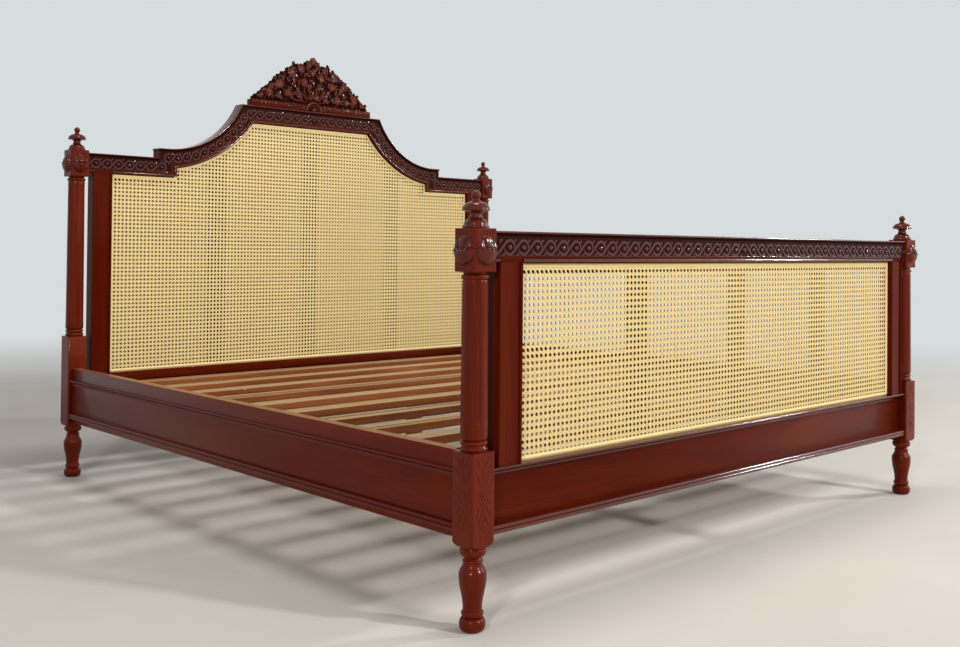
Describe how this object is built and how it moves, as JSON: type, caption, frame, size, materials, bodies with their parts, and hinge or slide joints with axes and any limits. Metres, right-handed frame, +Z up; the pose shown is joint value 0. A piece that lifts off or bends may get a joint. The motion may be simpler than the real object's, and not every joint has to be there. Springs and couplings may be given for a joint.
{
  "type": "rattan bed",
  "caption": "King-size bed frame of carved red-brown wood with turned, fluted posts, finials, an arched headboard with a pierced crest, and woven cane panels.",
  "frame": {"origin": "on the floor, at the middle of the four posts", "axes": "+X across the bed to the right seen from its foot, +Y from the foot to the head, +Z up"},
  "size_m": [2.088, 2.183, 1.6149],
  "materials": {
    "mahogany": "gloss lacquer",
    "carved_mahogany": "gloss lacquer",
    "cane_webbing": "satin",
    "cane_spline": "satin",
    "slat_wood": "bare",
    "steel": "zinc plated"
  },
  "bodies": {
    "root": {"post_foot_left": "mahogany", "post_foot_right": "mahogany", "post_head_left": "mahogany", "post_head_right": "mahogany", "finial_foot_left": "mahogany", "finial_foot_right": "mahogany", "finial_head_left": "mahogany", "finial_head_right": "mahogany", "bosses_foot_left": "mahogany", "bosses_foot_right": "mahogany", "bosses_head_left": "mahogany", "bosses_head_right": "mahogany", "foot_top_rail": "mahogany", "foot_cap_moulding": "mahogany", "foot_scroll_band": "carved_mahogany", "foot_bead_moulding": "mahogany", "foot_stile_left": "mahogany", "foot_stile_right": "mahogany", "foot_bottom_rail": "mahogany", "foot_rail_mouldings": "mahogany", "foot_cane_panel": "cane_webbing", "foot_cane_spline": "cane_spline", "head_shoulder_rail_left": "mahogany", "head_shoulder_rail_right": "mahogany", "head_sweep_rail_left": "mahogany", "head_sweep_rail_right": "mahogany", "head_top_rail": "mahogany", "head_cap_moulding": "mahogany", "head_scroll_band": "carved_mahogany", "head_bead_moulding": "mahogany", "head_stile_left": "mahogany", "head_stile_right": "mahogany", "head_bottom_rail": "mahogany", "head_cane_panel": "cane_webbing", "head_cane_spline": "cane_spline", "crest_plinth": "mahogany", "crest_carving": "mahogany", "side_rail_left": "mahogany", "side_rail_right": "mahogany", "side_rail_mouldings_left": "mahogany", "side_rail_mouldings_right": "mahogany", "slat_ledger_left": "slat_wood", "slat_ledger_right": "slat_wood", "slat_01": "slat_wood", "slat_02": "slat_wood", "slat_03": "slat_wood", "slat_04": "slat_wood", "slat_05": "slat_wood", "slat_06": "slat_wood", "slat_07": "slat_wood", "slat_08": "slat_wood", "slat_09": "slat_wood", "slat_10": "slat_wood", "slat_11": "slat_wood", "centre_beam": "slat_wood", "centre_legs": "slat_wood", "rail_hook_plates": "steel", "post_hook_plates": "steel", "hook_plate_screws": "steel", "slat_and_ledger_screws": "steel"}
  },
  "joints": []
}
